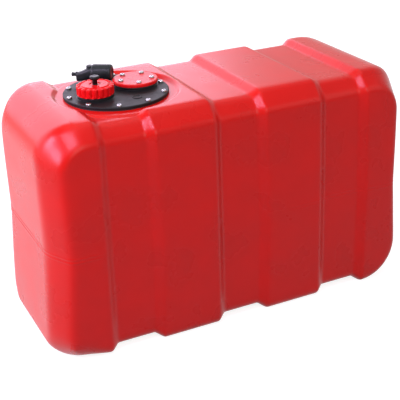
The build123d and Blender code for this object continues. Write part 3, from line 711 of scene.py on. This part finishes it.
class FUELTANK_OT_outlet_head(bpy.types.Operator):
    """Builds the fuel outlet head: filter barrel, body, beaded hose tail, stem, plug and bleed screw"""

    bl_idname = "fuel_tank.outlet_head"
    bl_label = "Outlet head"

    def execute(self, context):
        nylon = moulded_nylon("glass-filled grey nylon", context.scene.tank_colours.head, 0.36)
        back, front, wide = -BARREL_BACK, BARREL_FRONT, BARREL_RADIUS
        barrel = [(0, front), (wide - 0.5, front), (wide, front - 0.5), (wide, front - 2.0),
                  (wide - 0.35, front - 2.3), (wide - 0.35, front - 2.9), (wide, front - 3.2),
                  (wide, back + 5.0), (wide - 0.5, back + 2.6), (wide - 2.0, back + 0.8), (wide - 4.2, back),
                  (0, back)]
        end, tip = BODY_END, BODY_END - TAIL_LENGTH
        tail = [(0, end + 1.5), (4.4, end + 1.5), (4.4, end - 0.4), (4.0, end - 0.9), (3.0, end - 1.5),
                (3.0, end - 5.2), (3.3, end - 5.7), (3.7, end - 6.1), (3.65, end - 6.7), (3.1, tip + 0.3),
                (2.7, tip), (1.7, tip), (1.7, end - 1.0), (0, end - 1.0)]
        foot_top = FLANGE_FACE + 9.0
        stem = [(0, foot_top), (8.6, foot_top), (8.8, FOOT_LOW + 2.6), (9.2, FOOT_LOW + 1.4),
                (9.8, FOOT_LOW + 0.9), (9.8, FOOT_LOW), (7.7, FOOT_LOW), (7.7, STEM_LOW + 0.6),
                (7.1, STEM_LOW), (4.6, STEM_LOW), (4.45, STEM_LOW + 0.3), (4.45, FOOT_LOW - 1.7),
                (2.6, FOOT_LOW - 1.7), (2.6, FOOT_LOW + 6.0), (0, FOOT_LOW + 6.0)]
        boss_top = BLEED_LOW[2] + BLEED_STEM
        boss = [(0, boss_top), (5.2, boss_top), (5.7, boss_top - 0.5), (5.8, boss_top - 3.0),
                (6.6, boss_top - 6.0), (6.6, BARREL_AT[2] - 2), (0, BARREL_AT[2] - 2)]
        grids = [laid_along(turned(barrel), BARREL_AT, HEAD_AXIS), head_body(),
                 laid_along(turned(tail, count=48), TAIL_AT, HEAD_AXIS), turned(stem, STEM_AT),
                 turned(boss, BLEED_AT, 48)]
        make_piece("fuel_outlet_head", grids, nylon, "tank", ["outlet_head"], 38)
        cap = front + PLUG_LENGTH
        plug = [(0, cap - 0.6), (4.0, cap - 0.6), (4.8, cap - 0.1), (wide - 3.4, cap),
                (wide - 2.0, cap - 0.35), (wide - 0.8, cap - 1.1), (wide - 0.25, cap - 2.1),
                (wide - 0.25, front + 0.5), (wide - 0.6, front + 0.05), (9.4, front + 0.05),
                (9.4, front - 5.0), (0, front - 5.0)]
        plug_grids = [laid_along(turned(plug), BARREL_AT, HEAD_AXIS)]
        make_piece("barrel_plug", plug_grids, nylon, "tank", ["filter_plug"], 38)
        low, top = boss_top, BLEED_HIGH[2]
        knob = [(0, top - 0.5), (2.2, top - 0.45), (2.9, top - 0.05), (4.4, top), (5.1, top - 0.3),
                (5.6, top - 0.9), (5.65, low + 0.3), (5.3, low), (1.65, low), (1.65, BLEED_LOW[2]),
                (0, BLEED_LOW[2])]
        make_piece("bleed_knob", [turned(knob, BLEED_AT, 60)], nylon, "tank", ["bleed_screw"],
                   38)
        return {"FINISHED"}


# ---------------------------------------------------------------- carried-over pieces
class FUELTANK_OT_finishes(bpy.types.Operator):
    """Gives the screws, inserts, seals and inner parts that keep their shape a finish of their own"""

    bl_idname = "fuel_tank.finishes"
    bl_label = "Screws, seals and inner parts"

    def execute(self, context):
        steel, brass = turned_steel(), turned_brass()
        rubber, beads = nitrile_rubber(), sintered_polyethylene()
        nylon = moulded_nylon("turned black nylon", context.scene.tank_colours.flange, 0.4)
        finishes = {
            "flange_screws": steel, "plate_screws": steel, "check_ball": steel,
            "flange_inserts": brass, "plate_inserts": brass,
            "flange_gasket": rubber, "plate_gasket": rubber, "cap_seal": rubber, "vent_o_ring": rubber,
            "plug_o_ring": rubber, "head_seal": rubber, "head_lock_nut": nylon,
            "pickup_tube": drawn_aluminium(), "pickup_strainer": beads, "filter_cartridge": beads,
        }
        for node, material in finishes.items():
            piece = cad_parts[node]
            for slot in piece.material_slots:
                slot.material = material
        return {"FINISHED"}


# ---------------------------------------------------------------- materials
def add_node(tree, kind, links=(), **settings):
    """Adds one node. Settings set its own options; links gives (socket, value or other node's output)."""
    node = tree.nodes.new(kind)
    for name, value in settings.items():
        setattr(node, name, value)
    for socket, value in links:
        if isinstance(value, bpy.types.NodeSocket):
            tree.links.new(value, node.inputs[socket])
        else:
            node.inputs[socket].default_value = value
    return node


def new_material(name, **shader_values):
    """A node material with one Principled shader; values are set on its own sockets."""
    material = bpy.data.materials.new(name)
    material.use_nodes = True
    shader = material.node_tree.nodes["Principled BSDF"]
    for socket, value in shader_values.items():
        shader.inputs[socket.replace("_", " ")].default_value = value
    return material, material.node_tree, shader


def noise(tree, place, size, detail):
    """Soft noise whose features are about a size in metres across."""
    links = [("Vector", place), ("Scale", 1 / size), ("Detail", detail)]
    return add_node(tree, "ShaderNodeTexNoise", links).outputs["Fac"]


def ranged(tree, value, low, high):
    """The middle of a noise, 0.3 to 0.7, carried over to low to high."""
    links = [("Value", value), ("From Min", 0.3), ("From Max", 0.7), ("To Min", low), ("To Max", high)]
    return add_node(tree, "ShaderNodeMapRange", links).outputs["Result"]


def patterned(name, colour, roughness, grain, bump_height, value_range, rough_spread, cloud_size=0.012,
              bump_strength=0.5, **shader_values):
    """A Principled material whose colour and roughness drift with soft clouds and whose skin has a fine
    grain: both are noise on Object coordinates. Cloud size, grain and bump height are in metres."""
    material, tree, shader = new_material(name, Roughness=roughness, **shader_values)
    place = add_node(tree, "ShaderNodeTexCoord").outputs["Object"]
    cloud = noise(tree, place, cloud_size, 3.0)
    tint = ranged(tree, cloud, *value_range)
    shade = add_node(tree, "ShaderNodeHueSaturation", [("Color", colour), ("Value", tint)])
    skin = noise(tree, place, grain, 2.0)
    bump = add_node(tree, "ShaderNodeBump", [("Height", skin), ("Strength", bump_strength),
                                             ("Distance", bump_height)])
    gloss = ranged(tree, cloud, roughness - rough_spread, roughness + rough_spread)
    tree.links.new(shade.outputs["Color"], shader.inputs["Base Color"])
    tree.links.new(gloss, shader.inputs["Roughness"])
    tree.links.new(bump.outputs["Normal"], shader.inputs["Normal"])
    return material


def rotomoulded_polyethylene(colour):
    """Rotomoulded cross-linked polyethylene: waxy and satin, with faint pigment clouds of 60 mm and orange
    peel from the mould in cells of 4 mm."""
    return patterned("rotomoulded polyethylene", colour, 0.285, 0.004, 0.0005, (0.94, 1.05), 0.025,
                     cloud_size=0.06, bump_strength=0.06, IOR=1.4, Specular_IOR_Level=0.32)


def moulded_nylon(name, colour, roughness):
    """Injection-moulded nylon with glass fibre: dark and satin, its skin a little rough with fibres."""
    return patterned(name, colour, roughness, 0.0012, 0.00005, (0.8, 1.25), 0.06,
                     IOR=1.5, Specular_IOR_Level=0.2)


def moulded_polypropylene(name, colour):
    """Injection-moulded polypropylene in bright red: smoother and glossier than the tank."""
    return patterned(name, colour, 0.3, 0.0015, 0.00003, (0.95, 1.05), 0.04,
                     IOR=1.45, Specular_IOR_Level=0.2)


def turned_steel():
    """Stainless steel screws, turned and lightly polished: bright, with fine tool marks."""
    return patterned("turned stainless steel", linear("#A2A3A5"), 0.22, 0.0004, 0.00001, (0.9, 1.05), 0.06,
                     Metallic=1.0)


def turned_brass():
    """Brass inserts, machined and dull."""
    return patterned("machined brass", linear("#C9A55A"), 0.32, 0.0005, 0.00001, (0.9, 1.05), 0.05,
                     Metallic=1.0)


def drawn_aluminium():
    """Drawn aluminium tube: pale grey, with a soft satin shine."""
    return patterned("drawn aluminium", linear("#C4C7CA"), 0.35, 0.0006, 0.00001, (0.92, 1.05), 0.05,
                     Metallic=1.0)


def nitrile_rubber():
    """Nitrile rubber: matt black, with a dry bloom."""
    return patterned("nitrile rubber", linear("#1A1A1B"), 0.72, 0.0008, 0.00003, (0.85, 1.2), 0.06,
                     IOR=1.52)


def sintered_polyethylene():
    """Sintered polyethylene filter: white, matt, made of beads of about 0.4 mm."""
    return patterned("sintered polyethylene", linear("#E6E4DC"), 0.8, 0.0004, 0.00015, (0.92, 1.04), 0.05,
                     IOR=1.5)


# ---------------------------------------------------------------- stage
TANK_MIDDLE = (0.0, 0.0, 0.2)
LAMPS = [  # name, place, aim, width, height, colour; the powers are stage settings
    ("corner", (-2.15, 0.1, 1.2), TANK_MIDDLE, 0.55, 0.9, "#EAD2FF"),
    ("side", (-2.4, 0.5, 0.8), TANK_MIDDLE, 1.6, 1.2, "#F6EAFF"),
    ("rib", (-1.25, -0.85, 2.03), (-0.9, 0.0, 0.2), 1.3, 0.22, "#EAD6FF"),
    ("back", (-0.7, 2.2, 1.25), TANK_MIDDLE, 4.6, 1.7, "#F0E0FF"),
    ("overhead", (0.0, 0.0, 2.6), TANK_MIDDLE, 2.0, 2.0, "#FFFFFF"),
    ("front", (-0.5, -2.4, 1.6), TANK_MIDDLE, 1.6, 1.6, "#FFF2EC"),
    ("right", (1.8, -1.9, 1.5), TANK_MIDDLE, 1.6, 1.6, "#FFF2EC"),
]
FLOOR_HALF, FLOOR_LEVEL = 12.0, -0.0002  # the floor lies just under the tank
FLOOR_GLOW = 0.86  # of a floor that is seen
FILL = 0.35  # of the background, for rays that light the tank


class FUELTANK_OT_stage(bpy.types.Operator):
    """Builds the white floor, the soft lamps and the camera"""

    bl_idname = "fuel_tank.stage"
    bl_label = "Stage"

    def execute(self, context):
        scene, stage = context.scene, context.scene.stage_settings
        scene.view_settings.view_transform = "Standard"
        make_floor()
        make_world(scene)
        for name, place, target, width, height, colour in LAMPS:
            power = getattr(stage, f"{name}_power")
            soft_lamp(f"{name} panel", place, Vector(target), width, height, power, colour)
        make_camera(scene, stage.lens)
        return {"FINISHED"}


def make_floor():
    """A white floor that is white as seen, directly or mirrored, and still takes the tank's shadow."""
    mesh = bpy.data.meshes.new("floor")
    corners = [(x * FLOOR_HALF, y * FLOOR_HALF, FLOOR_LEVEL) for x, y in ((-1, -1), (1, -1), (1, 1), (-1, 1))]
    mesh.from_pydata(corners, [], [(0, 1, 2, 3)])
    floor = bpy.data.objects.new("floor", mesh)
    bpy.context.scene.collection.objects.link(floor)
    material = bpy.data.materials.new("white studio floor")
    material.use_nodes = True
    tree = material.node_tree
    tree.nodes.remove(tree.nodes["Principled BSDF"])
    lit = add_node(tree, "ShaderNodeBsdfDiffuse", [("Color", linear("#9A9A9A"))])
    power = add_node(tree, "ShaderNodeMath", [(0, seen_ray(tree)), (1, FLOOR_GLOW)], operation="MULTIPLY")
    glow = add_node(tree, "ShaderNodeEmission", [("Strength", power.outputs[0])])
    both = add_node(tree, "ShaderNodeAddShader", [(0, lit.outputs[0]), (1, glow.outputs[0])])
    tree.links.new(both.outputs[0], tree.nodes["Material Output"].inputs["Surface"])
    mesh.materials.append(material)


def seen_ray(tree):
    """1 for rays that show the stage: from the camera, in a mirror or through glass."""
    path = add_node(tree, "ShaderNodeLightPath").outputs
    seen = path["Is Camera Ray"]
    for kind in ("Is Glossy Ray", "Is Transmission Ray"):
        seen = add_node(tree, "ShaderNodeMath", [(0, seen), (1, path[kind])], operation="MAXIMUM").outputs[0]
    return seen


def make_world(scene):
    """A white background as seen, and a low even fill for everything else."""
    world = bpy.data.worlds.new("studio")
    world.use_nodes = True
    scene.world = world
    tree = world.node_tree
    back = tree.nodes["Background"]
    strength = add_node(tree, "ShaderNodeMapRange", [("Value", seen_ray(tree)), ("To Min", FILL)])
    tree.links.new(strength.outputs["Result"], back.inputs["Strength"])
    back.inputs["Color"].default_value = linear("#FFFFFF")


def soft_lamp(name, place, target, width, height, power, colour):
    """A rectangular soft panel aimed at a point."""
    lamp = bpy.data.lights.new(name, "AREA")
    lamp.shape = "RECTANGLE"
    lamp.size, lamp.size_y = width, height
    lamp.energy = power
    lamp.color = linear(colour)[:3]
    holder = bpy.data.objects.new(name, lamp)
    bpy.context.scene.collection.objects.link(holder)
    holder.location = place
    holder.rotation_euler = (target - holder.location).to_track_quat("-Z", "Y").to_euler()


CAMERA_AT = (-0.6842, -1.4249, 0.8933)
CAMERA_TURN = 25.447  # degrees from +Y towards +X
CAMERA_TILT = -22.091
CAMERA_ROLL = -1.950
FRAME_SHIFT = -0.12  # in frame widths: the lens axis passes above the frame's middle


def make_camera(scene, lens):
    """The camera, as a turn, a tilt and a slight roll."""
    data = bpy.data.cameras.new("camera")
    data.sensor_width = 36.0
    data.lens = lens
    data.shift_y = FRAME_SHIFT
    camera = bpy.data.objects.new("camera", data)
    scene.collection.objects.link(camera)
    turn = Matrix.Rotation(-math.radians(CAMERA_TURN), 4, "Z")
    tilt = Matrix.Rotation(math.radians(90 + CAMERA_TILT), 4, "X")
    roll = Matrix.Rotation(math.radians(CAMERA_ROLL), 4, "Z")
    camera.matrix_world = Matrix.Translation(CAMERA_AT) @ turn @ tilt @ roll
    scene.camera = camera


# ---------------------------------------------------------------- panel and run
OPERATORS = [FUELTANK_OT_stage, FUELTANK_OT_tank, FUELTANK_OT_flange, FUELTANK_OT_filler_cap,
             FUELTANK_OT_vent_screw, FUELTANK_OT_blank_plate, FUELTANK_OT_outlet_head, FUELTANK_OT_finishes]


class FUELTANK_PT_pieces(bpy.types.Panel):
    """Lists the steps that build the tank"""

    bl_label = "Fuel Tank"
    bl_idname = "FUELTANK_PT_pieces"
    bl_space_type = "VIEW_3D"
    bl_region_type = "UI"
    bl_category = "Fuel Tank"

    def draw(self, context):
        for step in OPERATORS:
            self.layout.operator(step.bl_idname)
        for group in (context.scene.tank_sizes, context.scene.tank_colours, context.scene.stage_settings):
            for name in group.__annotations__:
                self.layout.prop(group, name)


CLASSES = [TankSizes, TankColours, StageSettings] + OPERATORS + [FUELTANK_PT_pieces]


def register():
    for cls in CLASSES:
        bpy.utils.register_class(cls)
    bpy.types.Scene.tank_sizes = bpy.props.PointerProperty(type=TankSizes)
    bpy.types.Scene.tank_colours = bpy.props.PointerProperty(type=TankColours)
    bpy.types.Scene.stage_settings = bpy.props.PointerProperty(type=StageSettings)


def unregister():
    for name in ("tank_sizes", "tank_colours", "stage_settings"):
        delattr(bpy.types.Scene, name)
    for cls in reversed(CLASSES):
        bpy.utils.unregister_class(cls)


def main():
    register()
    bpy.ops.fuel_tank.stage()
    bpy.ops.fuel_tank.tank()
    bpy.ops.fuel_tank.flange()
    bpy.ops.fuel_tank.filler_cap()
    bpy.ops.fuel_tank.vent_screw()
    bpy.ops.fuel_tank.blank_plate()
    bpy.ops.fuel_tank.outlet_head()
    bpy.ops.fuel_tank.finishes()


if __name__ == "__main__":
    main()
